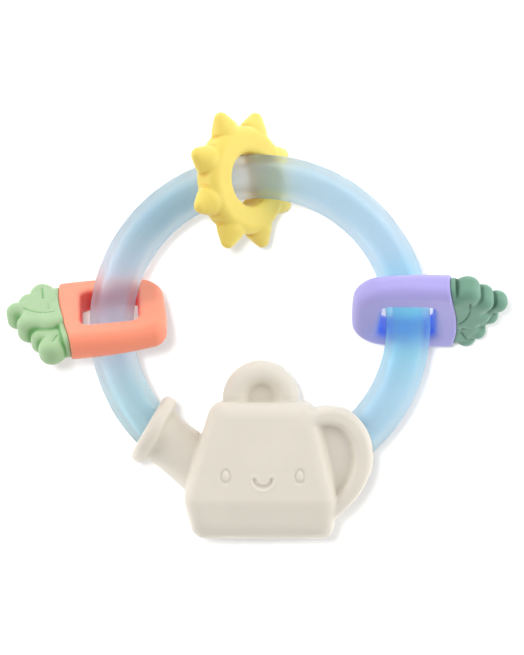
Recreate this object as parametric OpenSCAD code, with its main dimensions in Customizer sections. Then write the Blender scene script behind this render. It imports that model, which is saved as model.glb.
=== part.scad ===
// Teething ring: a soft hollow ring whose two ends meet inside a little watering can,
// with a sun, a carrot and a radish that slide along it.
// Millimetres. The ring lies flat: +Z is up, +Y runs from the can to the sun,
// and the origin is on the floor below the ring's centre.

/* [Ring] */
// Radius of the tube's centreline
ring_r = 43; // [42.5:0.1:43.5]
// Outer diameter of the tube
tube_d = 12.7; // [12:0.1:12.8]
// Wall of the hollow tube
tube_wall = 2.5; // [2:0.1:3]
// Height of the ring's middle plane above the floor
plane_h = 15.8; // [15.6:0.1:17]

/* [Watering can] */
// Sideways place of the can's middle
can_x = 0.7; // [0:0.1:1]
// Half width of the can at its top
can_top_w = 15.3; // [14:0.1:16]
// Half width of the can at its widest
can_mid_w = 22.3; // [21:0.1:23]
// Half width of the can at its base
can_base_w = 20.2; // [19:0.1:21]
// Depth of the can in front of the middle plane
can_front = 13.6; // [12.5:0.1:14]
// Wall of the can's shells
can_wall = 2.2; // [1.8:0.1:2.4]
// Diameter of the spout's rim
rim_d = 20.2; // [20:0.1:21]
// Width of the side handle's bar
handle_bar = 5.4; // [5:0.1:6]
// Width of the top loop's bar
loop_bar = 7.2; // [6.5:0.1:7.4]

/* [Sun] */
// Place of the sun round the ring, in degrees from +X
sun_at = 97.2; // [90:0.1:100]
// Slope of the sun's face against the ring's plane, in degrees
sun_tilt = 47; // [45:1:52]
// Diameter of the hole
sun_hole = 15.4; // [15:0.1:17.6]
// Diameter of the round body
sun_body = 32.3; // [31:0.1:33]
// Diameter over the tips of the rays
sun_over = 41.8; // [41:0.1:43]
// Thickness of the body
sun_thick = 8.6; // [7.5:0.1:8.8]
// Number of rays
ray_n = 8; // [8]

/* [Carrot and radish] */
// Place of the carrot round the ring, in degrees from +X
carrot_at = 177; // [175:0.5:180]
// Place of the radish round the ring
radish_at = 5.6; // [3:0.1:7]
// Slope of the carrot's face about its long axis
carrot_tilt = 59; // [58:1:62]
// Slope of the radish's face about its long axis
radish_tilt = 61; // [60:1:63]
// Thickness of both roots
root_thick = 8.6; // [8:0.1:9]
// Width of the slot
slot_w = 17.6; // [17:0.1:18]

/* [Hidden] */
$fn = 96;
hull_fn = 24;               // facets of the spheres inside hulls
gap = 0.3;                  // running clearance between a charm and the tube
seat = 0.05;                // clearance between parts that are clamped or bonded
tube_r = tube_d / 2;
bore_r = tube_r - tube_wall;
can_top_y = -22.2;
can_mid_y = -49.8;
can_base_y = -61.4;
can_bevel = 2.4;
can_lean_top = 4;           // lean of the front above and below the widest place, in degrees
can_lean_base = 11;
can_hollow_front = 3;       // the hollow stops this much short of the block's front wall
loop_at = [0.7, -22.2];     // middle of the top loop's half circle
loop_r = 7.4;               // centreline of the loop's bar
handle_at = [16, -38.8];    // middle of the side handle's circle
handle_r = 13.4;            // centreline of the handle's bar
handle_top = 11.2;          // crest of the handle above the middle plane
web_top = 8.6;              // sunk web inside the handle, just over the tube
spout_at = [-32, -29.3];    // middle of the rim
spout_turn = 150;           // direction that the spout points in
collar_r = 8.4;             // flange of the joiner, held between two ribs
collar_t = 1.6;
joint_at = 270;             // where the ring's ends meet
arm_deg = 13;               // reach of each arm of the joiner
pin_r = 1.5;                // pins of the front shell, in sockets of the back shell
post_wall = 1.5;
pin_places = [for (p = [[14, -56.5], [9.5, -27.5]], side = [-1, 1]) [can_x + side * p[0], p[1]]];

// ---------- the ring ----------
// Moves its children from the middle of the tube at angle a, with X pointing outwards.
module on_ring(a) {
    translate([0, 0, plane_h]) rotate([0, 0, a]) translate([ring_r, 0, 0]) children();
}

// A solid ring along the tube's centreline, from angle a0 over da degrees.
module ring_sweep(r, a0 = 0, da = 360) {
    translate([0, 0, plane_h]) rotate([0, 0, a0])
        rotate_extrude(angle = da) translate([ring_r, 0]) circle(r = r);
}

module ring_tube() {
    half_gap = asin((collar_t / 2 + seat) / (ring_r - tube_r));
    color("lightskyblue", 0.6) translate([0, 0, plane_h]) rotate([0, 0, joint_at + half_gap])
        rotate_extrude(angle = 360 - 2 * half_gap) translate([ring_r, 0]) difference() {
            circle(r = tube_r);
            circle(r = bore_r);
        }
}

// Rigid plug inside both ends of the tube, with a collar that the can holds.
module ring_joiner() {
    core_r = bore_r - 0.6;
    barb_r = bore_r - seat;
    color("whitesmoke") union() {
        ring_sweep(core_r, joint_at - arm_deg, 2 * arm_deg);
        on_ring(joint_at) rotate([90, 0, 0])
            cylinder(r = collar_r, h = collar_t, center = true);
        for (side = [-1, 1], step = [4, 7, 10])
            on_ring(joint_at + side * step) rotate([side * -90, 0, 0])
                translate([0, 0, -0.8]) cylinder(r1 = barb_r, r2 = core_r - 0.4, h = 2);
    }
}

// ---------- the watering can ----------
// Outline of the can from the front, set in by inset, with its corners cut.
module can_outline(inset) {
    cut = 2.2;
    right = [[can_top_w - inset - cut, can_top_y - inset],
             [can_top_w - inset, can_top_y - inset - cut],
             [can_mid_w - inset, can_mid_y],
             [can_base_w - inset, can_base_y + inset + cut],
             [can_base_w - inset - cut, can_base_y + inset]];
    left = [for (i = [len(right) - 1:-1:0]) [-right[i][0], right[i][1]]];
    translate([can_x, 0]) polygon(concat(right, left));
}

// A prism on that outline which keeps the same inset at the back and the front.
module can_prism(inset) {
    translate([0, 0, inset]) linear_extrude(plane_h + can_front - 2 * inset) can_outline(inset);
}

// The can's block: its front and back edges are cut at 45 degrees, and the front leans
// back above and below the widest place.
module can_block() {
    difference() {
        hull() {
            translate([0, 0, can_bevel])
                linear_extrude(plane_h + can_front - 2 * can_bevel) can_outline(0);
            linear_extrude(plane_h + can_front) can_outline(can_bevel);
        }
        translate([0, can_mid_y, plane_h + can_front]) {
            rotate([-can_lean_top, 0, 0]) translate([-40, 0, 0]) cube([80, 50, 10]);
            rotate([can_lean_base, 0, 0]) translate([-40, -30, 0]) cube([80, 30, 10]);
        }
    }
}

// The can's hollow.
module can_hollow(wall) {
    intersection() {
        can_prism(wall);
        translate([-40, -80, 0]) cube([80, 80, plane_h + can_front - can_hollow_front - wall]);
    }
}

// Bell of the spout, along +Z from inside the can to its rim at z = 0.
module spout_form() {
    rim_r = rim_d / 2;
    lip = 1.5;
    translate([spout_at[0], spout_at[1], plane_h]) rotate([0, 0, spout_turn]) rotate([0, 90, 0])
        rotate_extrude() union() {
            polygon([[0, -20], [8, -20], [8.1, -12], [8.7, -6.5], [rim_r - lip, -2.6],
                     [rim_r - lip, 0.3], [0, 0.3]]);
            translate([rim_r - lip, -1.1]) circle(r = lip);
        }
}

// A bar bent round a full circle: rounded crest, straight sides.
module bent_bar(at, r, bar, top) {
    b = bar / 2;
    translate([at[0], at[1], plane_h]) rotate_extrude() translate([r, 0]) union() {
        for (side = [-1, 1]) translate([0, side * (top - b)]) circle(r = b);
        square([bar, 2 * (top - b)], center = true);
    }
}

module handle_form() {
    bent_bar(handle_at, handle_r, handle_bar, handle_top);
    translate([handle_at[0], handle_at[1], plane_h])
        cylinder(r = handle_r, h = 2 * web_top, center = true);
}

module loop_form() {
    bent_bar(loop_at, loop_r, loop_bar, 5.2);
    translate([loop_at[0], loop_at[1], plane_h]) cylinder(r = loop_r, h = 3.2, center = true);
}

module can_form() {
    can_block();
    spout_form();
    handle_form();
    loop_form();
}

// Inside the can: ribs that hold the tube and the joiner's collar, and posts for the pins.
module can_inside() {
    rib_t = 1.6;
    collar_side = collar_t / 2 + seat + rib_t / 2;
    intersection() {
        can_hollow(can_wall / 2);
        union() {
            for (side = [-1, 1]) {
                on_ring(joint_at + side * arm_deg) cube([20, rib_t, 60], center = true);
                on_ring(joint_at) translate([0, side * collar_side, 0])
                    cube([20, rib_t, 60], center = true);
            }
            for (p = pin_places)
                translate([p[0], p[1], plane_h]) cylinder(r = pin_r + post_wall, h = 60, center = true);
        }
    }
}

// One half of the can: side is 1 for the front and -1 for the back.
module can_half(side) {
    difference() {
        intersection() {
            union() {
                difference() {
                    can_form();
                    can_hollow(can_wall);
                }
                can_inside();
            }
            translate([0, -38, plane_h + side * 20]) cube([90, 70, 40], center = true);
        }
        ring_sweep(tube_r + seat, 205, 130);
    }
}

// Raised ring round an eye and a curved mouth, sunk into the front face.
module face_marks() {
    eye_w = 1.6;
    eye_h = 2.1;
    line = 0.55;
    function oval(w, h) = [for (a = [0:12:348]) [w * cos(a), h * sin(a)]];
    for (side = [-1, 1])
        translate([can_x + side * 10.9, -43.3, plane_h + can_front - 1.1]) linear_extrude(4) difference() {
            polygon(oval(eye_w, eye_h));
            polygon(oval(eye_w - line, eye_h - line));
        }
    translate([can_x, -42.9, plane_h + can_front - 0.4]) rotate([0, 0, 205])
        rotate_extrude(angle = 130) translate([3.1, 0]) circle(r = 0.5);
}

module can_front_shell() {
    color("antiquewhite") union() {
        difference() {
            can_half(1);
            face_marks();
        }
        for (p = pin_places)
            translate([p[0], p[1], plane_h - 4]) cylinder(r = pin_r, h = 6);
    }
}

module can_back_shell() {
    color("antiquewhite") difference() {
        can_half(-1);
        for (p = pin_places)
            translate([p[0], p[1], plane_h - 4.5]) cylinder(r = pin_r + seat, h = 6);
    }
}

// ---------- the sun ----------
module sun() {
    r_in = sun_hole / 2;
    r_out = sun_body / 2;
    edge = 3;
    ray_base = 4.4;
    ray_tip = 1.9;
    ray_from = r_out - 3;
    ray_end = sun_over / 2 - ray_tip;
    w = r_out - r_in;
    color("khaki") difference() {
        on_ring(sun_at) translate([-0.7, 0, 0]) rotate([0, 0, -4]) rotate([sun_tilt, 0, 0]) union() {
            rotate_extrude() translate([r_in + w / 2, 0]) union() {
                square([w - 2 * edge, sun_thick], center = true);
                square([w, sun_thick - 2 * edge], center = true);
                for (x = [-1, 1], y = [-1, 1])
                    translate([x * (w / 2 - edge), y * (sun_thick / 2 - edge)]) circle(r = edge);
            }
            for (k = [0:ray_n - 1]) rotate([0, 0, (k + 0.5) * 360 / ray_n]) rotate([0, 90, 0]) {
                translate([0, 0, ray_from]) cylinder(r1 = ray_base, r2 = ray_tip, h = ray_end - ray_from);
                translate([0, 0, ray_end]) sphere(r = ray_tip);
            }
        }
        ring_sweep(tube_r + gap);
    }
}

// ---------- the carrot and the radish ----------
// Local frame of a root: X outwards along it, Y across it, Z through it, origin in its slot.
module root_frame(at, shift, turn, tilt) {
    on_ring(at) translate([shift, 0, 0]) rotate([0, 0, turn]) rotate([tilt, 0, 0]) children();
}

// The root's block with its slot. Its size is one of the lists below.
module root_block(size) {
    tip = size[0];
    top = size[1];
    tip_w = size[2];
    top_w = size[3];
    edge = 3.4;
    z = root_thick / 2 - edge;
    difference() {
        hull() for (side = [-1, 1], k = [-z, z]) {
            translate([edge - tip, side * (tip_w - edge), k]) sphere(r = edge, $fn = hull_fn);
            translate([top - 1, side * (top_w - edge), k]) rotate([0, 90, 0])
                cylinder(r = edge, h = 1, $fn = hull_fn);
        }
        cube([size[4], slot_w, 30], center = true);
        leaf_tang(top, seat);
    }
}

// Anchor of the leaves inside the root, grown by extra for its pocket.
module leaf_tang(top, extra = 0) {
    translate([top - 3 - extra, -7 - extra, -1.8 - extra])
        cube([4 + extra, 14 + 2 * extra, 3.6 + 2 * extra]);
}

// Outline of the leaves: round lobes, each [x beyond the base, y, radius], and a flat middle.
module leaf_outline(top, lobes, shrink) {
    for (p = lobes) translate([top + p[0], p[1]]) circle(r = p[2] - shrink);
    translate([top + 0.6, shrink - 10]) square([8, 20 - 2 * shrink]);
}

// Leaves: base plate, tang and lobes with a step round their edge.
module leaf_cluster(top, top_w, lobes) {
    plate_t = 1.8;
    plate_w = 2 * (top_w - 1);
    translate([top + seat, -plate_w / 2, -root_thick / 2 + 0.9]) cube([plate_t, plate_w, root_thick - 1.8]);
    leaf_tang(top);
    linear_extrude(4.6, center = true) leaf_outline(top, lobes, 0);
    linear_extrude(7.2, center = true) leaf_outline(top, lobes, 1.2);
}

module carrot_frame() {
    root_frame(carrot_at, 0.3, 9, carrot_tilt) children();
}

module radish_frame() {
    root_frame(radish_at, 0, -5.6, radish_tilt) children();
}

// Reach of the tip and of the leaf end, half width at each, length of the slot.
carrot_size = [15.8, 13.1, 13.6, 16.6, 16.4];
radish_size = [15.8, 12.9, 13, 15.6, 15.4];

module carrot_body() {
    color("salmon") difference() {
        carrot_frame() root_block(carrot_size);
        ring_sweep(tube_r + gap);
    }
}

module carrot_leaves() {
    color("darkseagreen") carrot_frame() leaf_cluster(carrot_size[1], carrot_size[3], [
        [4.6, 12.4, 4.3], [8.4, 8.2, 3.9], [12.4, 2, 3.9], [10.2, -4.6, 3.9],
        [7.4, -9, 3.9], [4.6, -12.4, 4.2], [5.5, 4, 4.2], [5.2, -3.5, 4.2]]);
}

module radish_body() {
    color("mediumpurple") difference() {
        radish_frame() root_block(radish_size);
        ring_sweep(tube_r + gap);
    }
}

module radish_leaves() {
    color("cadetblue") radish_frame() leaf_cluster(radish_size[1], radish_size[3], [
        [4.4, 11.6, 4.2], [8, 8, 3.8], [12.6, 3.2, 3.9], [10, -3.4, 3.7],
        [6.6, -8, 3.6], [4.2, -11.4, 3.9], [5.2, 4, 4.2], [5, -3, 4.2]]);
}

ring_tube();
ring_joiner();
can_front_shell();
can_back_shell();
sun();
carrot_body();
carrot_leaves();
radish_body();
radish_leaves();
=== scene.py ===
"""Teething ring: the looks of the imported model, built round its frame.

Lengths are in millimetres until a mesh is made, and in the frame of the part: +Z up from the
floor, +Y from the watering can towards the sun. Each charm is modelled in a frame of its own.
A shape is a function that gives the distance to its surface, negative inside; carve() meshes it.
"""

import math
from dataclasses import dataclass
from functools import partial

import bpy
import numpy as np
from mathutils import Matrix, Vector


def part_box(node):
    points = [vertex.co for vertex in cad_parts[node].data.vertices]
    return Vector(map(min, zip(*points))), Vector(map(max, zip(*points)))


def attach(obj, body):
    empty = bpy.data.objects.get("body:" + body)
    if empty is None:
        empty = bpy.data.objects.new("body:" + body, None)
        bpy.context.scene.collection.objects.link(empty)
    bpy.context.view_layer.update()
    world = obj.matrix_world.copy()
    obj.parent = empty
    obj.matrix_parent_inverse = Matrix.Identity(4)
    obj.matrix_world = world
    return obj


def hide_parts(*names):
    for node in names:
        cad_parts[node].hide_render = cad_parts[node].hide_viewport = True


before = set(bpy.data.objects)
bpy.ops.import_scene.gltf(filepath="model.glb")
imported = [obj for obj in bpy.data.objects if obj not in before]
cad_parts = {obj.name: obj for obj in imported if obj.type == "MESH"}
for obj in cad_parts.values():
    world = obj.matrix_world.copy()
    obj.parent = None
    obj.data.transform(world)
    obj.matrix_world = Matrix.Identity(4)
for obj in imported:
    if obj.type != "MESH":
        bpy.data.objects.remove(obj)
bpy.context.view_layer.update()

MM = 0.001
CELL = 0.42                                   # size of the grid's cells, and so of a mesh face


def mm_box(node):
    """Lowest and highest corner of a CAD node, in millimetres."""
    low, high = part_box(node)
    return np.array(low) / MM, np.array(high) / MM


tube_low, tube_high = mm_box("ring_tube")
TUBE_R = (tube_high[2] - tube_low[2]) / 2
PLANE = (tube_high[2] + tube_low[2]) / 2      # height of the ring's middle plane
RING_R = tube_high[0] - TUBE_R                # radius of the tube's centreline
TUBE_WALL = 2.5
RUN_GAP = 0.3                                 # clearance between a charm and the tube
GROOVE_EDGE = 0.5                             # rounding where the tube's groove cuts a charm


# ---------------------------------------------------------------- distance functions

def length(*parts):
    return np.sqrt(sum(part * part for part in parts))


def smooth_min(a, b, k):
    """The smaller of two distances, with a fillet about k wide where they meet."""
    h = np.clip(0.5 + 0.5 * (b - a) / k, 0, 1)
    return b + (a - b) * h - k * h * (1 - h)


def smooth_max(a, b, k):
    """The larger of two distances, with the edge where they meet softened over about k."""
    return -smooth_min(-a, -b, k)


def rounded(a, b, edge):
    """Intersection of two distances, with their shared edge rounded to the radius edge."""
    u, v = a + edge, b + edge
    return np.minimum(np.maximum(u, v), 0) + length(np.maximum(u, 0), np.maximum(v, 0)) - edge


def box_2d(x, y, half_x, half_y, corner):
    """Distance in a plane to a rectangle with round corners."""
    return rounded(np.abs(x) - half_x, np.abs(y) - half_y, corner)


def segment(x, y, a, b):
    """Distance in a plane to the segment from a to b, and how far along it the point lies."""
    dx, dy = b[0] - a[0], b[1] - a[1]
    t = np.clip(((x - a[0]) * dx + (y - a[1]) * dy) / (dx * dx + dy * dy), 0, 1)
    return length(x - a[0] - t * dx, y - a[1] - t * dy), t


def curve(points, steps=4):
    """A smooth curve through the points: Catmull-Rom, with steps pieces between two points."""
    p = np.array([points[0], *points, points[-1]], float)
    out = []
    for i in range(1, len(p) - 2):
        before, here, there, after = p[i - 1:i + 3]
        for t in np.linspace(0, 1, steps, endpoint=False):
            out.append(0.5 * (2 * here + (there - before) * t
                              + (2 * before - 5 * here + 4 * there - after) * t ** 2
                              + (3 * here - before - 3 * there + after) * t ** 3))
    return np.array(out + [p[-2]])


def stroke(x, y, points):
    """Distance in a plane to a line of points; a point's third value is half the line's width."""
    best = None
    for a, b in zip(points[:-1], points[1:]):
        d, t = segment(x, y, a, b)
        if len(a) > 2:
            d = d - (a[2] + (b[2] - a[2]) * t)
        best = d if best is None else np.minimum(best, d)
    return best


def round_cone(along, across, r1, r2, reach):
    """A cone with round ends: radius r1 at 0 and r2 at reach, along its axis."""
    b = (r1 - r2) / reach
    a = math.sqrt(1 - b * b)
    k = -b * across + a * along
    near = length(along, across) - r1
    far = length(along - reach, across) - r2
    side = across * a + along * b - r1
    return np.where(k < 0, near, np.where(k > a * reach, far, side))


def tube_distance(p, radius):
    """Distance to a solid ring on the tube's centreline."""
    return length(length(p[0], p[1]) - RING_R, p[2] - PLANE) - radius


def groove(d, to_line, depth, width):
    """Cuts a soft groove into the surface d along a line to_line away."""
    return d + depth * np.exp(-(to_line / width) ** 2)


# ---------------------------------------------------------------- meshes

PROBES, PROBE_GAIN = (0.6, 1.8, 4.5), 1.6     # how far out from a surface the painted shade looks for what blocks the light


def surface_net(f, origin, step):
    """Vertices and quads of the zero level of the grid of values f: one vertex in each cell that
    the surface crosses, and one quad round each grid edge that it cuts."""
    inside = f < 0
    corners = [(i, j, k) for i in (0, 1) for j in (0, 1) for k in (0, 1)]
    size = [n - 1 for n in f.shape]

    def corner(grid, c):
        return grid[c[0]:c[0] + size[0], c[1]:c[1] + size[1], c[2]:c[2] + size[2]]

    count = sum(corner(inside, c).astype(np.int8) for c in corners)
    cells = np.argwhere((count > 0) & (count < 8))
    index = np.full(size, -1)
    index[tuple(cells.T)] = np.arange(len(cells))
    total, hits = np.zeros((len(cells), 3)), np.zeros(len(cells))
    for a in corners:
        for axis in range(3):
            if a[axis]:
                continue
            b = tuple(1 if i == axis else a[i] for i in range(3))
            fa = f[tuple((cells + a).T)]
            fb = f[tuple((cells + b).T)]
            cut = (fa < 0) != (fb < 0)
            t = np.where(cut, fa / np.where(cut, fa - fb, 1), 0)
            point = np.array(a) + t[:, None] * (np.array(b) - a)
            total += point * cut[:, None]
            hits += cut
    verts = np.array(origin) + step * (cells + total / hits[:, None])
    quads = []
    for axis in range(3):
        u, v = (axis + 1) % 3, (axis + 2) % 3
        low = [slice(1, -1)] * 3
        high = list(low)
        low[axis], high[axis] = slice(0, -1), slice(1, None)
        a, b = inside[tuple(low)], inside[tuple(high)]
        at = np.argwhere(a != b)
        outwards = a[tuple(at.T)]
        at = at + [0 if i == axis else 1 for i in range(3)]
        du, dv = np.eye(3, dtype=int)[u], np.eye(3, dtype=int)[v]
        ring = np.stack([index[tuple((at - s).T)] for s in (du * 0, du, du + dv, dv)], axis=1)
        ring[~outwards] = ring[~outwards][:, ::-1]
        quads.append(ring)
    return verts, np.concatenate(quads)


def slope(sdf, p, e=0.02):
    """Gradient of a distance function at the points p, one row per axis."""
    return np.array([(sdf(p + d) - sdf(p - d)) / (2 * e) for d in np.eye(3)[:, :, None] * e])


def settle(sdf, verts, quads, step, rounds=2):
    """Evens out the mesh and moves its vertices onto the surface."""
    edges = np.concatenate([quads[:, [i, (i + 1) % 4]] for i in range(4)])
    degree = np.bincount(edges[:, 0], minlength=len(verts))[:, None]
    for turn in range(rounds + 1):
        if turn:
            mean = np.stack([np.bincount(edges[:, 0], verts[edges[:, 1], i], len(verts))
                             for i in range(3)], axis=1) / degree
            verts = verts + 0.5 * (mean - verts)
        for _ in range(2):
            p = verts.T
            g = slope(sdf, p)
            move = sdf(p) / np.maximum((g * g).sum(axis=0), 0.2)
            verts = verts - (np.clip(move, -step, step) * g).T
    return verts


def painted_shade(sdf, verts):
    """How enclosed each point is, from 0 in the open to 1 deep in a slot or a groove, which the materials
    paint as shade.
    """
    p = verts.T
    g = slope(sdf, p)
    n = g / np.maximum(length(*g), 1e-6)
    closed = sum((1 - np.clip(sdf(p + n * d) / d, 0, 1)) / len(PROBES) for d in PROBES)
    return np.clip(closed * PROBE_GAIN, 0, 1)


def make_mesh(name, verts, faces, shade_amount=None):
    """A smooth shaded object from points in millimetres; the amount of painted shade at each point is
    kept for its material.
    """
    mesh = bpy.data.meshes.new(name)
    mesh.vertices.add(len(verts))
    mesh.vertices.foreach_set("co", (np.asarray(verts) * MM).astype(np.float32).ravel())
    mesh.loops.add(faces.size)
    mesh.loops.foreach_set("vertex_index", faces.astype(np.int32).ravel())
    mesh.polygons.add(len(faces))
    mesh.polygons.foreach_set("loop_start", np.arange(0, faces.size, faces.shape[1]))
    mesh.polygons.foreach_set("use_smooth", np.ones(len(faces), bool))
    mesh.update(calc_edges=True)
    mesh.validate()
    if shade_amount is not None:
        values = mesh.attributes.new("painted_shade", "FLOAT", "POINT")
        values.data.foreach_set("value", shade_amount.astype(np.float32))
    obj = bpy.data.objects.new(name, mesh)
    bpy.context.scene.collection.objects.link(obj)
    return obj


def carve(name, sdf, low, high, place=None, inner=None):
    """Meshes a distance function inside a box; place moves the points into the part's frame,
    and inner gives a least value for how enclosed each point is, so that those faces get painted shade."""
    low, high = np.array(low, float) - 2 * CELL, np.array(high, float) + 2 * CELL
    axes = [np.arange(low[i], high[i] + CELL, CELL) for i in range(3)]
    grid = np.stack(np.meshgrid(*axes, indexing="ij")).astype(np.float32)
    verts, quads = surface_net(sdf(grid), low, CELL)
    verts = settle(sdf, verts, quads, CELL)
    # Painted shade: how enclosed each point is, kept as a mesh attribute for the materials.
    shade_amount = painted_shade(sdf, verts)
    if inner is not None:
        shade_amount = np.maximum(shade_amount, inner(verts.T))
    if place is not None:
        verts = place(verts.T).T
    return make_mesh(name, verts, quads, shade_amount)


# ---------------------------------------------------------------- places of the charms

def rotation(axis, degrees):
    c, s = math.cos(math.radians(degrees)), math.sin(math.radians(degrees))
    if axis == "x":
        return np.array([[1, 0, 0], [0, c, -s], [0, s, c]])
    return np.array([[c, -s, 0], [s, c, 0], [0, 0, 1]])


class Place:
    """A charm's own frame: X outwards from the ring, Z through the charm's opening. In degrees, at
    is its angle round the ring, turn is about its Z and tilt about its X; shift moves it outwards
    from the tube's centreline."""

    def __init__(self, at, shift, turn, tilt):
        spin = rotation("z", at)
        self.turn = spin @ rotation("z", turn) @ rotation("x", tilt)
        self.origin = spin @ [RING_R + shift, 0, 0] + [0, 0, PLANE]

    def out(self, p):
        """From the charm's frame to the part's."""
        return np.tensordot(self.turn, p, 1) + self.origin.reshape((3,) + (1,) * (p.ndim - 1))


SUN = Place(at=97.2, shift=-0.7, turn=-4, tilt=47)
CARROT = Place(at=177, shift=0.3, turn=9, tilt=59)
RADISH = Place(at=5.6, shift=0, turn=-5.6, tilt=61)


# ---------------------------------------------------------------- the watering can

# The block. Its sides' X are those at the top, the middle and the base.
CAN_TOP, CAN_MID, CAN_BASE = -22.2, -49.8, -61.4
CAN_LEFT, CAN_RIGHT = (-13.9, -22.1, -18.8), (15.7, 22.4, 20.8)
CAN_FRONT = 13.6                              # from the ring's plane
CAN_CREASE = -50.6                            # Y where the front's two slopes meet
LEAN_ABOVE, LEAN_BELOW = 0.07, 0.2            # how those slopes fall back
LEAN_SCALE, BELL_SCALE, MOUTH_SCALE = 0.98, 0.8, 0.95   # from heights over a slope to distances
SIDE_FOLD, CORNER, BACK_EDGE, FRONT_EDGE, CREASE_EDGE = 1.6, 3.4, 2.2, 5.0, 0.25

# The spout: its rim's middle, the way it points in degrees, and the rim's radius.
SPOUT_AT, SPOUT_TURN, RIM_R = (-32.2, -29.4), 150, 10.6
LIP_HALF, LIP_BACK, LIP_EDGE = (2.2, 2.1), 1.7, 1.9
BELL_FILLET, LIP_FILLET = 2.6, 1.1
BEHIND_RIM = 1.5                              # where the bell starts to narrow, and the horn begins
BELL_R, BELL_TAPER, BELL_BACK, BELL_HALF = 9.3, 0.8, 4.0, 3.4
MOUTH_R, MOUTH_TAPER, TAPER_LONG, MOUTH_DEEP = 8.4, 0.3, 6, 4
# The horn behind the bell: where it starts and how long it is, in degrees round the ring; it
# widens and moves outwards over a part of that length.
HORN_AT, HORN_LONG, HORN_R = 222.5, 27, 7.4
WIDEN_FROM, WIDEN_LONG, WIDEN_R, WIDEN_OUT = 10, 14, 0.9, 1.5
ARC_MM = 0.75                                 # millimetres in a degree of the ring's arc

# The side handle's centreline, each point with the bar's half width, and its sunk web.
HANDLE = curve([(13.5, -28.2, 2.5), (18.5, -26.3, 2.8), (24.6, -27.4, 3.0), (28.8, -32.8, 2.9),
                (29.5, -39.4, 2.8), (27.4, -45.6, 2.6), (23.6, -50.6, 2.4), (19.5, -54.2, 2.2)])
HANDLE_TOP, HANDLE_EDGE = 11.2, 2.3
WEB_AT, WEB_R, WEB_TOP = (16.0, -39.0), 12.6, 8.8

# The loop on the top, and its sunk web.
LOOP_AT, LOOP_R, LOOP_BAR = (0.3, -21.3), 7.5, 7.2
LOOP_TOP, LOOP_EDGE, LOOP_WEB = 5.2, 3.5, 2.4

FILLET, SPOUT_FILLET = 0.7, 0.9               # where handles and spout join the block

# The face: depths and widths of its grooves, a low dome in each eye, a raised bead round the smile.
FACE_X, FACE_REACH = 0.8, 3                   # its middle, and how far down from the front it acts
EYE_X, EYE_Y, EYE_W, EYE_H = 10.6, -43.3, 1.2, 1.8
EYE_DEEP, EYE_LINE, EYE_DOME = 0.34, 0.4, 0.22
SMILE_Y, SMILE_R, SMILE_REACH = -43.9, 2.5, 78          # reach: degrees to each side of down
SMILE_DEEP, SMILE_LINE = 0.58, 0.56
BEAD_HIGH, BEAD_AWAY, BEAD_WIDE = 0.16, 1.0, 0.35

# Inside the shells.
CAN_WALL = 2.2
SEAM, SEAM_EDGE = 0.06, 0.25                  # half the gap between the shells, and its edge
TUBE_FIT = 0.05                               # clearance between the can and the tube
# The ribs: half thickness, X of the two at the joiner's collar, turn in radians of the two that
# hold the tube, and their reach across it.
RIB_HALF, RIB_NEAR, RIB_TURN, RIB_REACH = 0.8, 1.65, 0.227, 10


def slant(x, y, a, b):
    """Signed distance to the line from a to b, positive on its left."""
    dx, dy = b[0] - a[0], b[1] - a[1]
    return ((x - a[0]) * -dy + (y - a[1]) * dx) / math.hypot(dx, dy)


def can_block(p):
    """A six sided block whose front leans back, a little above the crease and more below it."""
    x, y, z = p[0], p[1], p[2] - PLANE
    walls = []
    for side, xs in ((1, CAN_RIGHT), (-1, CAN_LEFT)):
        top, mid, base = [(side * x_at, y_at) for x_at, y_at in zip(xs, (CAN_TOP, CAN_MID, CAN_BASE))]
        upper, lower = slant(side * x, y, top, mid), slant(side * x, y, mid, base)
        walls.append(smooth_max(upper, lower, SIDE_FOLD))
    ends = np.maximum(y - CAN_TOP, CAN_BASE - y)
    outline = smooth_max(np.maximum(*walls), ends, CORNER)
    above = z - CAN_FRONT + np.maximum(y - CAN_CREASE, 0) * LEAN_ABOVE
    below = z - CAN_FRONT + (CAN_CREASE - y) * LEAN_BELOW
    front = smooth_max(above, below * LEAN_SCALE, CREASE_EDGE)
    return smooth_max(rounded(outline, -z - PLANE, BACK_EDGE), front, FRONT_EDGE)


def rim_frame(p):
    """Distance behind the face of the spout's rim, and distance from the rim's axis."""
    c, s = math.cos(math.radians(SPOUT_TURN)), math.sin(math.radians(SPOUT_TURN))
    dx, dy = p[0] - SPOUT_AT[0], p[1] - SPOUT_AT[1]
    return -(dx * c + dy * s), length(-dx * s + dy * c, p[2] - PLANE)


def spout(p):
    """A lip, a bell behind it, and a horn that follows the ring's arc into the can."""
    back, r = rim_frame(p)
    bell = (r - BELL_R + BELL_TAPER * np.maximum(back - BEHIND_RIM, 0)) * BELL_SCALE
    bell = np.maximum(bell, np.abs(back - BELL_BACK) - BELL_HALF)
    turn = np.mod(np.degrees(np.arctan2(p[1], p[0])), 360) - HORN_AT
    widen = np.clip((turn - WIDEN_FROM) / WIDEN_LONG, 0, 1) ** 2
    horn = length(length(p[0], p[1]) - RING_R - WIDEN_OUT * widen, p[2] - PLANE)
    horn = horn - HORN_R - WIDEN_R * widen
    horn = np.maximum(horn, np.maximum(BEHIND_RIM - back, (turn - HORN_LONG) * ARC_MM))
    lip = box_2d(r - RIM_R + LIP_HALF[0], back - LIP_BACK, *LIP_HALF, LIP_EDGE)
    return smooth_min(smooth_min(horn, bell, BELL_FILLET), lip, LIP_FILLET)


def mouth(p):
    """The funnel inside the spout's rim, where the tube goes in."""
    back, r = rim_frame(p)
    funnel = (r - MOUTH_R + np.clip(back, 0, TAPER_LONG) * MOUTH_TAPER) * MOUTH_SCALE
    return np.maximum(funnel, back - MOUTH_DEEP)


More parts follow.
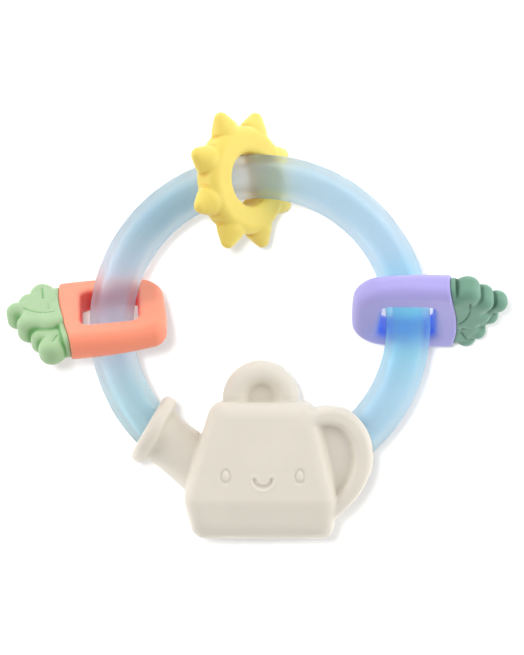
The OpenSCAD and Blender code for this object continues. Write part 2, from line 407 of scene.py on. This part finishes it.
def side_handle(p):
    z = np.abs(p[2] - PLANE)
    bar = rounded(stroke(p[0], p[1], HANDLE), z - HANDLE_TOP, HANDLE_EDGE)
    web = length(p[0] - WEB_AT[0], p[1] - WEB_AT[1]) - WEB_R
    return smooth_min(bar, np.maximum(web, z - WEB_TOP), FILLET)


def top_loop(p):
    z = np.abs(p[2] - PLANE)
    r = length(p[0] - LOOP_AT[0], p[1] - LOOP_AT[1])
    bar = rounded(np.abs(r - LOOP_R) - LOOP_BAR / 2, z - LOOP_TOP, LOOP_EDGE)
    return smooth_min(bar, np.maximum(r - LOOP_R, z - LOOP_WEB), FILLET)


def face(d, p):
    """Two oval eyes, each a groove round a low dome, and a curved mouth, on the front only."""
    x, y = p[0] - FACE_X, p[1]
    front = p[2] > PLANE + CAN_FRONT - FACE_REACH
    oval = length((np.abs(x) - EYE_X) / EYE_W, (y - EYE_Y) / EYE_H)
    eyes = EYE_DEEP * np.exp(-((oval - 1) * EYE_H / EYE_LINE) ** 2)
    eyes = eyes - EYE_DOME * np.clip(1 - oval * oval, 0, 1)
    angle = np.clip(np.arctan2(x, SMILE_Y - y), *np.radians((-SMILE_REACH, SMILE_REACH)))
    to_line = length(x - SMILE_R * np.sin(angle), y - SMILE_Y + SMILE_R * np.cos(angle))
    smile = SMILE_DEEP * np.exp(-(to_line / SMILE_LINE) ** 2)
    bead = BEAD_HIGH * np.exp(-((to_line - BEAD_AWAY) / BEAD_WIDE) ** 2)
    return d + np.where(front, eyes + smile - bead, 0)


def can_outside(p):
    d = smooth_min(can_block(p), spout(p), SPOUT_FILLET)
    d = smooth_min(d, side_handle(p), FILLET)
    d = smooth_min(d, top_loop(p), FILLET)
    return np.maximum(face(d, p), -mouth(p))


def can_shell(p, side):
    """Half of the hollow can: side is 1 for the front and -1 for the back."""
    outside = can_outside(p)
    collar_ribs = np.abs(np.abs(p[0]) - RIB_NEAR) - RIB_HALF
    tube_ribs = np.abs(np.abs(p[0] * math.cos(RIB_TURN)) - RING_R * math.sin(RIB_TURN)) - RIB_HALF
    ribs = np.maximum(np.minimum(collar_ribs, tube_ribs), np.abs(p[1] + RING_R) - RIB_REACH)
    d = np.maximum(outside, -np.maximum(outside + CAN_WALL, -ribs))
    d = rounded(d, SEAM - side * (p[2] - PLANE), SEAM_EDGE)
    return np.maximum(d, -tube_distance(p, TUBE_R + TUBE_FIT))


def build_can():
    shells = []
    for node, side in (("can_front_shell", 1), ("can_back_shell", -1)):
        shell = carve(node.replace("can_", "can_smooth_"), partial(can_shell, side=side), *mm_box(node))
        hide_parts(node)
        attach(shell, "ring_and_can")
        shells.append(shell)
    return shells


# ---------------------------------------------------------------- the sun

SUN_HOLE_R, SUN_BODY_R, SUN_TIP_R, SUN_THICK = 7.4, 15.7, 21.1, 8.6
SUN_RIM, HOLE_FRONT, HOLE_BACK = 2.9, 2.2, 0.8          # rounding of the rim and the hole's edges
# The rays: how many, their radii, how far out they begin, and how much flatter than round.
RAYS, RAY_BASE, RAY_TIP, RAY_FROM, RAY_FLAT = 8, 4.5, 2.3, 14.6, 1.16
RAY_FILLET = 0.45
HOLE_SHADE_REACH = 0.9                               # the painted shade's reach out from the hole
SUN_ROOM, SUN_BOX = 0.5, 5.6                  # the sun's box: room past the tips, and half height


def sun_shape(p):
    """A round body with a hole, and rays that are round cones."""
    x, y, z = p
    r = length(x, y)
    middle, half = (SUN_HOLE_R + SUN_BODY_R) / 2, (SUN_BODY_R - SUN_HOLE_R) / 2
    corner = np.where(r > middle, SUN_RIM, np.where(z > 0, HOLE_FRONT, HOLE_BACK))
    body = box_2d(r - middle, z, half, SUN_THICK / 2, corner)
    part = 2 * math.pi / RAYS
    angle = np.mod(np.arctan2(y, x), part) - part / 2
    along, across = r * np.cos(angle) - RAY_FROM, length(r * np.sin(angle), z * RAY_FLAT)
    ray = round_cone(along, across, RAY_BASE, RAY_TIP, SUN_TIP_R - RAY_TIP - RAY_FROM)
    d = smooth_min(body, ray, RAY_FILLET)
    return smooth_max(d, -tube_distance(SUN.out(p), TUBE_R + RUN_GAP), GROOVE_EDGE)


def sun_hole_shade(p):
    """Painted shade in the hole: 1 on the hole's inner face, fading to 0 on the front and back faces."""
    return np.clip(1 - (length(p[0], p[1]) - SUN_HOLE_R) / HOLE_SHADE_REACH, 0, 1)


def build_sun():
    reach = SUN_TIP_R + SUN_ROOM
    corner = np.array((reach, reach, SUN_BOX))
    sun = carve("sun_soft", sun_shape, -corner, corner, SUN.out, sun_hole_shade)
    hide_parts("sun")
    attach(sun, "sun_charm")
    return sun


# ---------------------------------------------------------------- the carrot and the radish

ROOT_THICK, SLOT_FAR = 8.6, 9.6               # the slot's other side is at Y = -SLOT_FAR
TIP_THINNER, TIP_CROWN, SIDE_CROWN = 0.4, 0.9, 1.2
SLOT_CORNER, LEAF_END_EDGE = 2.6, 0.45
SLOT_ROUND = (1.0, 3.6)                       # least and most rounding of a slot's front edge
# The leaves' base plate, and how the lobes and veins are drawn.
COLLAR_TALL, COLLAR_INSET, COLLAR_CORNER = 3.6, 0.6, 2.8
COLLAR_OUT, COLLAR_HALF, COLLAR_EDGE = 0.8, 0.85, 0.5
LEAF_EDGE, LOBE_FILLET, SHEET_FILLET, LEAF_FILLET = 2.7, 0.5, 3.0, 0.3
VEIN_DEEP, VEIN_WIDE = 0.32, 0.24
LEAF_GAP = 0.04                               # between the body's end and the leaves
# Boxes that hold a body and its leaves: places along X, half heights, and room past the outline.
BODY_TO, LEAVES_FROM, LEAVES_TO = 15.8, 10.5, 31
BODY_BOX, LEAVES_BOX = 4.6, 5.2
TIP_ROOM, SIDE_ROOM, LOBE_ROOM = 1.3, 1.6, 0.6


@dataclass
class Leaf:
    """A flat leaf with a scalloped rim: lobes of (along, across, radius) round a sheet, which is a
    line of (along, across, half width). It is tall to each side of the height middle."""

    tall: float
    middle: float
    lobes: list
    sheet: list

    def shape(self, x, y, z):
        rim = None
        for along, across, radius in self.lobes:
            lobe = length(x - along, y - across) - radius
            rim = lobe if rim is None else smooth_min(rim, lobe, LOBE_FILLET)
        outline = smooth_min(rim, stroke(x, y, self.sheet), SHEET_FILLET)
        return rounded(outline, np.abs(z - self.middle) - self.tall, LEAF_EDGE)


@dataclass
class Root:
    """A carrot or a radish in its own frame: X from the tip to the leaves, Z through the slot.
    A pair marked by y holds a radius at the middle and its change with the distance across."""

    place: Place
    tip: float             # reach of the tip
    lean: float            # slope of the tip's end
    tip_w: float           # half width at the tip
    top_w: float           # half width at the leaves
    corner: tuple          # by y: rounding of the tip's corners
    bevel: tuple           # by y: rounding of the edges round the outline
    slot: float            # the slot's size along X
    slot_near: float       # the place of its near side, at Y = slot_near
    slot_front: tuple      # by y: rounding of its front edge
    slot_back: float       # rounding of its back edge
    shade_reach: tuple            # reach of the painted shade from the slot's sides, over the face and in depth
    end: list              # points (across, along) where the leaves begin
    leaves: list
    veins: list            # lines of points (along, across)

    def __post_init__(self):
        self.end_at = np.poly1d(np.polyfit(*zip(*self.end), 3))

    def body_shape(self, p):
        x, y, z = p
        top = self.end_at(y)
        share = np.clip((x + self.tip) / (self.tip + top), 0, 1)
        width = self.tip_w + (self.top_w - self.tip_w) * share + SIDE_CROWN * np.sin(math.pi * share)
        reach = self.tip + self.lean * y - TIP_CROWN * (y / self.tip_w) ** 2 + TIP_CROWN
        outline = rounded(np.abs(y) - width, -x - reach, self.corner[0] + self.corner[1] * y)
        flat = np.abs(z) - ROOT_THICK / 2 + TIP_THINNER * (1 - share)
        front = np.clip(self.slot_front[0] + self.slot_front[1] * y, *SLOT_ROUND)
        inside = rounded(-self.opening(x, y), flat, np.where(z > 0, front, self.slot_back))
        d = np.maximum(rounded(outline, flat, self.bevel[0] + self.bevel[1] * y), inside)
        d = rounded(d, x - top, LEAF_END_EDGE)
        return smooth_max(d, -tube_distance(self.place.out(p), TUBE_R + RUN_GAP), GROOVE_EDGE)

    def opening(self, x, y):
        """Distance in the plane to the slot."""
        middle, half = (self.slot_near - SLOT_FAR) / 2, (self.slot_near + SLOT_FAR) / 2
        return box_2d(x, y - middle, self.slot / 2, half, SLOT_CORNER)

    def slot_shade(self, p):
        """Painted shade in the slot: 1 on the slot's walls, fading to 0 on the faces."""
        near = 1 - self.opening(p[0], p[1]) / self.shade_reach[0]
        return np.clip(near, 0, 1) * np.clip((ROOT_THICK / 2 - np.abs(p[2])) / self.shade_reach[1], 0, 1)

    def leaf_shape(self, p):
        """The base plate against the body's end, the leaves on it, and their veins."""
        x, y, z = p
        out = x - self.end_at(y)
        plate = rounded(np.abs(y) - self.top_w + COLLAR_INSET, np.abs(z) - COLLAR_TALL, COLLAR_CORNER)
        d = rounded(plate, np.abs(out - COLLAR_OUT) - COLLAR_HALF, COLLAR_EDGE)
        for leaf in self.leaves:
            d = smooth_min(d, leaf.shape(x, y, z), LEAF_FILLET)
        for vein in self.veins:
            d = groove(d, stroke(x, y, curve(vein)), VEIN_DEEP, VEIN_WIDE)
        return np.maximum(d, LEAF_GAP - out)


CARROT_ROOT = Root(
    CARROT, tip=15.2, lean=0.04, tip_w=14.4, top_w=16.6, corner=(5.2, -0.13), bevel=(3.0, 0.04),
    slot=16.4, slot_near=8.8, slot_front=(1.7, 0), slot_back=3.6, shade_reach=(2.4, 1.6),
    end=[(-16.6, 14.2), (-10, 14.8), (-3, 14.4), (4, 13.6), (11, 12.3), (16.6, 11.5)],
    leaves=[
        Leaf(tall=3.9, middle=0.8,
             lobes=[(19.8, -14.0, 3.4), (23.5, -9.2, 3.1), (27.3, -5.0, 2.9), (23.8, 2.9, 3.1)],
             sheet=[(14.6, -8.0, 5.0), (18.6, -10.6, 3.6), (20.0, -6.5, 5.4), (24.5, -5.0, 2.6),
                    (21.0, -1.5, 5.0), (21.8, 2.2, 3.4), (17.0, 3.0, 5.0), (14.0, 3.0, 4.0),
                    (14.5, -3.0, 4.5)]),
        Leaf(tall=3.4, middle=-0.8,
             lobes=[(20.7, 8.4, 2.4), (17.1, 14.2, 3.8)],
             sheet=[(18.5, 5.0, 3.4), (15.8, 9.0, 4.0), (16.0, 11.6, 3.2)])],
    veins=[[(15.9, 1.2), (19.2, 1.2), (22.5, -0.4), (24.8, -2.9)],
           [(19.4, -12.6), (19.2, -7.0)],
           [(15.2, 11.2), (16.6, 14.5)]])
RADISH_ROOT = Root(
    RADISH, tip=15.2, lean=0, tip_w=13.8, top_w=15.6, corner=(7.6, -0.06), bevel=(3.0, 0.02),
    slot=15.4, slot_near=8.3, slot_front=(2.4, -0.14), slot_back=1.2, shade_reach=(6.0, 3.2),
    end=[(15.6, 11.3), (8.5, 12.9), (1, 13.9), (-8.5, 14.1), (-15.6, 13.1)],
    leaves=[
        Leaf(tall=4.0, middle=0.2,
             lobes=[(16.7, 11.9, 3.6), (21.4, 7.8, 3.0), (21.0, 0.8, 2.7), (18.6, -2.6, 2.6)],
             sheet=[(13.6, 8.5, 4.0), (16.6, 5.5, 5.2), (18.0, 1.4, 4.8), (14.6, -0.5, 4.4)]),
        Leaf(tall=3.1, middle=-0.7,
             lobes=[(25.6, 4.2, 3.1), (24.0, -3.0, 2.5)],
             sheet=[(21.6, 2.0, 3.0), (20.0, -3.4, 4.0)]),
        Leaf(tall=3.2, middle=0.2,
             lobes=[(20.8, -10.4, 2.5), (17.6, -14.3, 2.9)],
             sheet=[(17.4, -7.0, 4.0), (16.0, -10.6, 3.2)])],
    veins=[[(17.3, 11.2), (17.4, 6.0), (16.4, 1.8), (14.8, -0.6)],
           [(15.6, -6.6), (17.6, -11.4)]])


def build_root(name, root):
    wide = root.top_w + SIDE_ROOM
    body = carve(name + "_body_soft", root.body_shape, (-root.tip - TIP_ROOM, -wide, -BODY_BOX),
                 (BODY_TO, wide, BODY_BOX), root.place.out, root.slot_shade)
    wide = wide + LOBE_ROOM
    leaves = carve(name + "_leaves_soft", root.leaf_shape, (LEAVES_FROM, -wide, -LEAVES_BOX),
                   (LEAVES_TO, wide, LEAVES_BOX), root.place.out)
    for piece, node in ((body, "_body"), (leaves, "_leaves")):
        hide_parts(name + node)
        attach(piece, name + "_charm")
    return body, leaves


# ---------------------------------------------------------------- the ring

AROUND, ALONG = 64, 480                       # faces round the tube, and rings of points along it
HALF_GAP = 0.85                               # half the gap between the tube's ends, at its inside


def build_ring():
    """The hollow tube, open where its ends meet inside the can."""
    gap = math.asin(HALF_GAP / (RING_R - TUBE_R))
    turn = -math.pi / 2 + np.linspace(gap, 2 * math.pi - gap, ALONG)
    bite = np.linspace(0, 2 * math.pi, AROUND, endpoint=False)
    skins = []
    for radius in (TUBE_R, TUBE_R - TUBE_WALL):
        far = RING_R + radius * np.cos(bite)
        height = np.broadcast_to(PLANE + radius * np.sin(bite), (ALONG, AROUND))
        skin = np.stack([np.outer(np.cos(turn), far), np.outer(np.sin(turn), far), height], axis=2)
        skins.append(skin.reshape(-1, 3))
    i, j = np.meshgrid(np.arange(ALONG - 1), np.arange(AROUND), indexing="ij")
    here, there = i * AROUND + j, i * AROUND + (j + 1) % AROUND
    outer = np.stack([here, here + AROUND, there + AROUND, there], axis=2).reshape(-1, 4)
    inner = outer[:, ::-1] + ALONG * AROUND
    j = np.arange(AROUND)
    k = (j + 1) % AROUND
    first = np.stack([j, k, k + ALONG * AROUND, j + ALONG * AROUND], axis=1)
    last = first[:, ::-1] + (ALONG - 1) * AROUND
    faces = np.concatenate([outer, inner, first, last])
    tube = make_mesh("ring_tube_frosted", np.concatenate(skins), faces)
    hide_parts("ring_tube")
    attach(tube, "ring_and_can")
    return tube


# ---------------------------------------------------------------- materials

def new_material(name):
    material = bpy.data.materials.new(name)
    material.use_nodes = True
    nodes, links = material.node_tree.nodes, material.node_tree.links
    return material, nodes, links, nodes["Principled BSDF"]


def linear(rgb):
    """Linear colour from an sRGB colour of 0 to 255."""
    return tuple((c / 255 / 12.92 if c <= 10 else ((c / 255 + 0.055) / 1.055) ** 2.4) for c in rgb) + (1,)


def set_or_link(links, socket, value):
    """Gives a socket a plain value, or links another node's output to it."""
    if hasattr(value, "links"):
        links.new(value, socket)
    else:
        socket.default_value = value


def noise(nodes, links, vector, scale, detail=3.0, rough=0.5):
    texture = nodes.new("ShaderNodeTexNoise")
    texture.inputs["Scale"].default_value = scale
    texture.inputs["Detail"].default_value = detail
    texture.inputs["Roughness"].default_value = rough
    links.new(vector, texture.inputs["Vector"])
    return texture.outputs["Fac"]


def ramp(nodes, links, value, low, high, out_low, out_high):
    """Maps low to high onto out_low to out_high, and stays at those outside."""
    node = nodes.new("ShaderNodeMapRange")
    for key, v in (("From Min", low), ("From Max", high), ("To Min", out_low), ("To Max", out_high)):
        node.inputs[key].default_value = v
    links.new(value, node.inputs["Value"])
    return node.outputs["Result"]


def arithmetic(nodes, links, kind, *values):
    node = nodes.new("ShaderNodeMath")
    node.operation = kind
    for socket, value in zip(node.inputs, values):
        set_or_link(links, socket, value)
    return node.outputs[0]


def mix_colour(nodes, links, factor, a, b):
    node = nodes.new("ShaderNodeMix")
    node.data_type = "RGBA"
    links.new(factor, node.inputs["Factor"])
    set_or_link(links, node.inputs[6], a)     # 6 and 7 are a mix node's two colours
    set_or_link(links, node.inputs[7], b)
    return node.outputs[2]


def bump(nodes, links, shader, height, strength, distance):
    node = nodes.new("ShaderNodeBump")
    node.inputs["Strength"].default_value = strength
    node.inputs["Distance"].default_value = distance
    links.new(height, node.inputs["Height"])
    links.new(node.outputs["Normal"], shader.inputs["Normal"])


def moulded(name, open_rgb, shade_rgb, radius, roughness=0.55, subsurface=0.25, grain=0.3, sheen=0.12):
    """Moulded silicone or plastic: painted shade as a deeper colour in recesses, faint mottling and a
    fine grain.
    The colours are in the open and in the painted shade deep in a recess; radius is how far each colour
    scatters."""
    material, nodes, links, shader = new_material(name)
    where = nodes.new("ShaderNodeTexCoord").outputs["Object"]
    # Painted shade: the colour turns to the second one where the mesh attribute of how enclosed each
    # point is runs high.
    shade_attribute = nodes.new("ShaderNodeAttribute")
    shade_attribute.attribute_name = "painted_shade"
    shade_amount = ramp(nodes, links, shade_attribute.outputs["Fac"], 0.12, 0.62, 0, 1)
    colour = mix_colour(nodes, links, shade_amount, linear(open_rgb), linear(shade_rgb))
    mottle = ramp(nodes, links, noise(nodes, links, where, 90, 4), 0.45, 0.8, 0, 0.5)
    pale = linear([min(255, c + 7) for c in open_rgb])
    links.new(mix_colour(nodes, links, mottle, colour, pale), shader.inputs["Base Color"])
    patches = noise(nodes, links, where, 420, 3)
    links.new(ramp(nodes, links, patches, 0.3, 0.7, roughness - 0.05, roughness + 0.06),
              shader.inputs["Roughness"])
    bump(nodes, links, shader, noise(nodes, links, where, 2600, 2), grain, 0.00004)
    shader.inputs["Subsurface Weight"].default_value = subsurface
    shader.inputs["Subsurface Radius"].default_value = radius
    shader.inputs["Subsurface Scale"].default_value = 0.001
    shader.inputs["Sheen Weight"].default_value = sheen
    shader.inputs["Sheen Roughness"].default_value = 0.5
    shader.inputs["Specular IOR Level"].default_value = 0.4
    return material


# The tube's colour along its arc, in degrees from +X, is painted light: it stands for the light that the
# charms throw on the tube at rest, cyan at the radish, neutral at the sun, lilac at the carrot, and it is
# darker at 118 to 135 degrees as painted shade over the lamps' highlight there. It stays where it is when
# they slide. The last two are the ramp's ends, which meet.
TUBE_PAINTED_LIGHT = [(-150, (228, 248, 252)), (-60, (224, 244, 251)), (-25, (222, 245, 252)),
              (-6, (205, 249, 255)), (5, (196, 255, 255)), (16, (214, 245, 252)),
              (30, (228, 243, 249)), (75, (225, 243, 248)), (97, (248, 249, 250)),
              (118, (214, 232, 239)), (135, (211, 229, 236)), (158, (228, 237, 243)),
              (168, (237, 242, 253)), (-180, (241, 246, 255)), (180, (241, 246, 255))]
STREAK_BLUE, CLOUD_PALE = (150, 200, 232), (226, 232, 248)
STREAKS_ALONG, STREAKS_ACROSS = 0.9, 330.0    # the streaks' scale per radian and per metre


def arc_painted_light(nodes, links, angle):
    """The tube's painted light from the table along its arc, at an angle from -pi to pi."""
    node = nodes.new("ShaderNodeValToRGB")
    turned = arithmetic(nodes, links, "ADD", angle, math.pi)
    links.new(arithmetic(nodes, links, "DIVIDE", turned, 2 * math.pi), node.inputs["Fac"])
    stops = node.color_ramp.elements
    for degrees, rgb in TUBE_PAINTED_LIGHT[:-2]:
        stops.new(degrees / 360 + 0.5).color = linear(rgb)
    for stop, (degrees, rgb) in zip((stops[0], stops[-1]), TUBE_PAINTED_LIGHT[-2:]):
        stop.position, stop.color = degrees / 360 + 0.5, linear(rgb)
    return node.outputs[0]


def frosted_tube():
    """Frosted, pale blue, see-through tube with faint streaks along it, paler clouds, and painted light
    from the charms along its arc.
    """
    material, nodes, links, shader = new_material("frosted_tube")
    where = nodes.new("ShaderNodeTexCoord").outputs["Object"]
    split = nodes.new("ShaderNodeSeparateXYZ")
    links.new(where, split.inputs[0])
    x, y, z = split.outputs
    angle = arithmetic(nodes, links, "ARCTAN2", y, x)
    squares = [arithmetic(nodes, links, "MULTIPLY", v, v) for v in (x, y)]
    reach = arithmetic(nodes, links, "SQRT", arithmetic(nodes, links, "ADD", *squares))
    unrolled = nodes.new("ShaderNodeCombineXYZ")
    for socket, value, scale in zip(unrolled.inputs, (angle, reach, z),
                                    (STREAKS_ALONG, STREAKS_ACROSS, STREAKS_ACROSS)):
        links.new(arithmetic(nodes, links, "MULTIPLY", value, scale), socket)
    streak = noise(nodes, links, unrolled.outputs[0], 1.0, 3, 0.6)
    streaked = mix_colour(nodes, links, ramp(nodes, links, streak, 0.36, 0.62, 0.17, 0),
                          arc_painted_light(nodes, links, angle), linear(STREAK_BLUE))
    cloud = ramp(nodes, links, noise(nodes, links, where, 28, 2), 0.4, 0.75, 0, 0.35)
    links.new(mix_colour(nodes, links, cloud, streaked, linear(CLOUD_PALE)), shader.inputs["Base Color"])
    links.new(ramp(nodes, links, streak, 0.3, 0.7, 0.56, 0.68), shader.inputs["Roughness"])
    bump(nodes, links, shader, streak, 0.12, 0.0001)
    shader.inputs["Transmission Weight"].default_value = 0.88
    shader.inputs["IOR"].default_value = 1.12
    shader.inputs["Specular IOR Level"].default_value = 0.35
    return material


def plain_plastic(name, rgb):
    """Plain plastic with faint darker specks."""
    material, nodes, links, shader = new_material(name)
    where = nodes.new("ShaderNodeTexCoord").outputs["Object"]
    speck = noise(nodes, links, where, 300, 3)
    links.new(mix_colour(nodes, links, speck, linear(rgb), linear([c - 8 for c in rgb])),
              shader.inputs["Base Color"])
    shader.inputs["Roughness"].default_value = 0.45
    return material


# ---------------------------------------------------------------- light, floor and camera, in metres

CAMERA_AT = (0.0006, -0.0007)
CAMERA_UP, VIEW_HIGH = 0.9, 0.1897            # height above the ring, and of the picture there
SENSOR = 36.0
FLOOR_GREY, FLOOR_GLOW, FLOOR_HALF = 0.88, 0.06, 1.5     # a faint glow keeps the paper white
# The surroundings' strength overhead and at the horizon, and how much stronger towards +Y.
ZENITH, HORIZON, LEAN = 0.56, 1.15, 0.3
# Round lamps: name, place, the point that they aim at, diameter and watts. The key lights the
# floor only, and the others light everything.
KEY = ("key", (-0.12, 0.09, 1.1), (0, 0, 0), 0.15, 7.0)
LAMPS = [("top", (-0.2, 1.0, 0.5), (0, 0, 0.01), 0.8, 1.7),
         ("left", (-0.9, 0.2, 0.4), (0, 0, 0.01), 0.6, 2.2),
         ("right", (1.05, 0.1, 0.46), (0, 0, 0.01), 0.6, 4.3)]


def light(name, place, aim, size, energy):
    data = bpy.data.lights.new(name, "AREA")
    data.shape, data.size, data.energy = "DISK", size, energy
    lamp = bpy.data.objects.new(name, data)
    lamp.location = place
    lamp.rotation_euler = (Vector(aim) - lamp.location).to_track_quat("-Z", "Y").to_euler()
    bpy.context.scene.collection.objects.link(lamp)
    return lamp


def light_tent():
    """White surroundings, brighter towards the horizon than overhead, and towards +Y."""
    world = bpy.data.worlds.new("light_tent")
    bpy.context.scene.world = world
    world.use_nodes = True
    nodes, links = world.node_tree.nodes, world.node_tree.links
    split = nodes.new("ShaderNodeSeparateXYZ")
    links.new(nodes.new("ShaderNodeTexCoord").outputs["Generated"], split.inputs[0])
    side = ramp(nodes, links, split.outputs["Y"], -1.0, 1.0, 1 - LEAN, 1 + LEAN)
    up = ramp(nodes, links, split.outputs["Z"], 0.0, 1.0, HORIZON, ZENITH)
    links.new(arithmetic(nodes, links, "MULTIPLY", up, side), nodes["Background"].inputs["Strength"])
    nodes["Background"].inputs["Color"].default_value = (1, 1, 1, 1)


def white_floor():
    side = FLOOR_HALF / MM
    corners = np.array([(-side, -side, 0), (side, -side, 0), (side, side, 0), (-side, side, 0)])
    floor = make_mesh("floor", corners, np.array([[0, 1, 2, 3]]))
    material, nodes, links, shader = new_material("floor_paper")
    shader.inputs["Base Color"].default_value = (FLOOR_GREY, FLOOR_GREY, FLOOR_GREY, 1)
    shader.inputs["Roughness"].default_value = 1.0
    shader.inputs["Specular IOR Level"].default_value = 0.0
    shader.inputs["Emission Color"].default_value = (1, 1, 1, 1)
    shader.inputs["Emission Strength"].default_value = FLOOR_GLOW
    floor.data.materials.append(material)
    return floor


def studio():
    """A light tent, a small key light that draws the shadows on the floor, and three lamps."""
    light_tent()
    lit_floor = bpy.data.collections.new("lit_by_key")
    lit_floor.objects.link(white_floor())
    light(*KEY).light_linking.receiver_collection = lit_floor
    for lamp in LAMPS:
        light(*lamp)
    scene = bpy.context.scene
    scene.view_settings.view_transform = "Standard"
    data = bpy.data.cameras.new("camera")
    data.sensor_width = SENSOR
    data.lens = SENSOR * CAMERA_UP / VIEW_HIGH
    camera = bpy.data.objects.new("camera", data)
    camera.location = (*CAMERA_AT, PLANE * MM + CAMERA_UP)
    scene.collection.objects.link(camera)
    scene.camera = camera


# ---------------------------------------------------------------- the whole model

studio()
build_ring().data.materials.append(frosted_tube())

# The second colour of each material is painted shade, deeper and more saturated in recesses, grooves,
# slots and the sun's hole.
can_plastic = moulded("can_satin", (225, 218, 205), (219, 212, 199), (1.0, 0.8, 0.6),
                      roughness=0.42, subsurface=0.12, grain=0.25, sheen=0.0)
for shell in build_can():
    shell.data.materials.append(can_plastic)

yellow = moulded("sun_silicone", (236, 212, 102), (220, 170, 36), (1.6, 1.0, 0.3))
build_sun().data.materials.append(yellow)

coral = moulded("carrot_silicone", (250, 148, 117), (232, 44, 40), (1.8, 0.6, 0.4))
green = moulded("light_leaf", (160, 191, 146), (112, 168, 100), (0.8, 1.4, 0.6), subsurface=0.2)
lilac = moulded("radish_silicone", (175, 167, 229), (74, 114, 248), (0.8, 0.8, 1.8))
pine = moulded("dark_leaf", (112, 156, 134), (68, 112, 90), (0.6, 1.2, 0.8), subsurface=0.2)
for name, root, colours, slots in (
        ("carrot", CARROT_ROOT, (coral, green), ("carrot_silicone", "light_leaf_silicone")),
        ("radish", RADISH_ROOT, (lilac, pine), ("radish_silicone", "dark_leaf_silicone"))):
    for piece, colour, slot in zip(build_root(name, root), colours, slots):
        piece.data.materials.append(colour)

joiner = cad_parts["ring_joiner"]
joiner.data.materials.clear()
joiner.data.materials.append(plain_plastic("joiner_plastic", (240, 240, 236)))
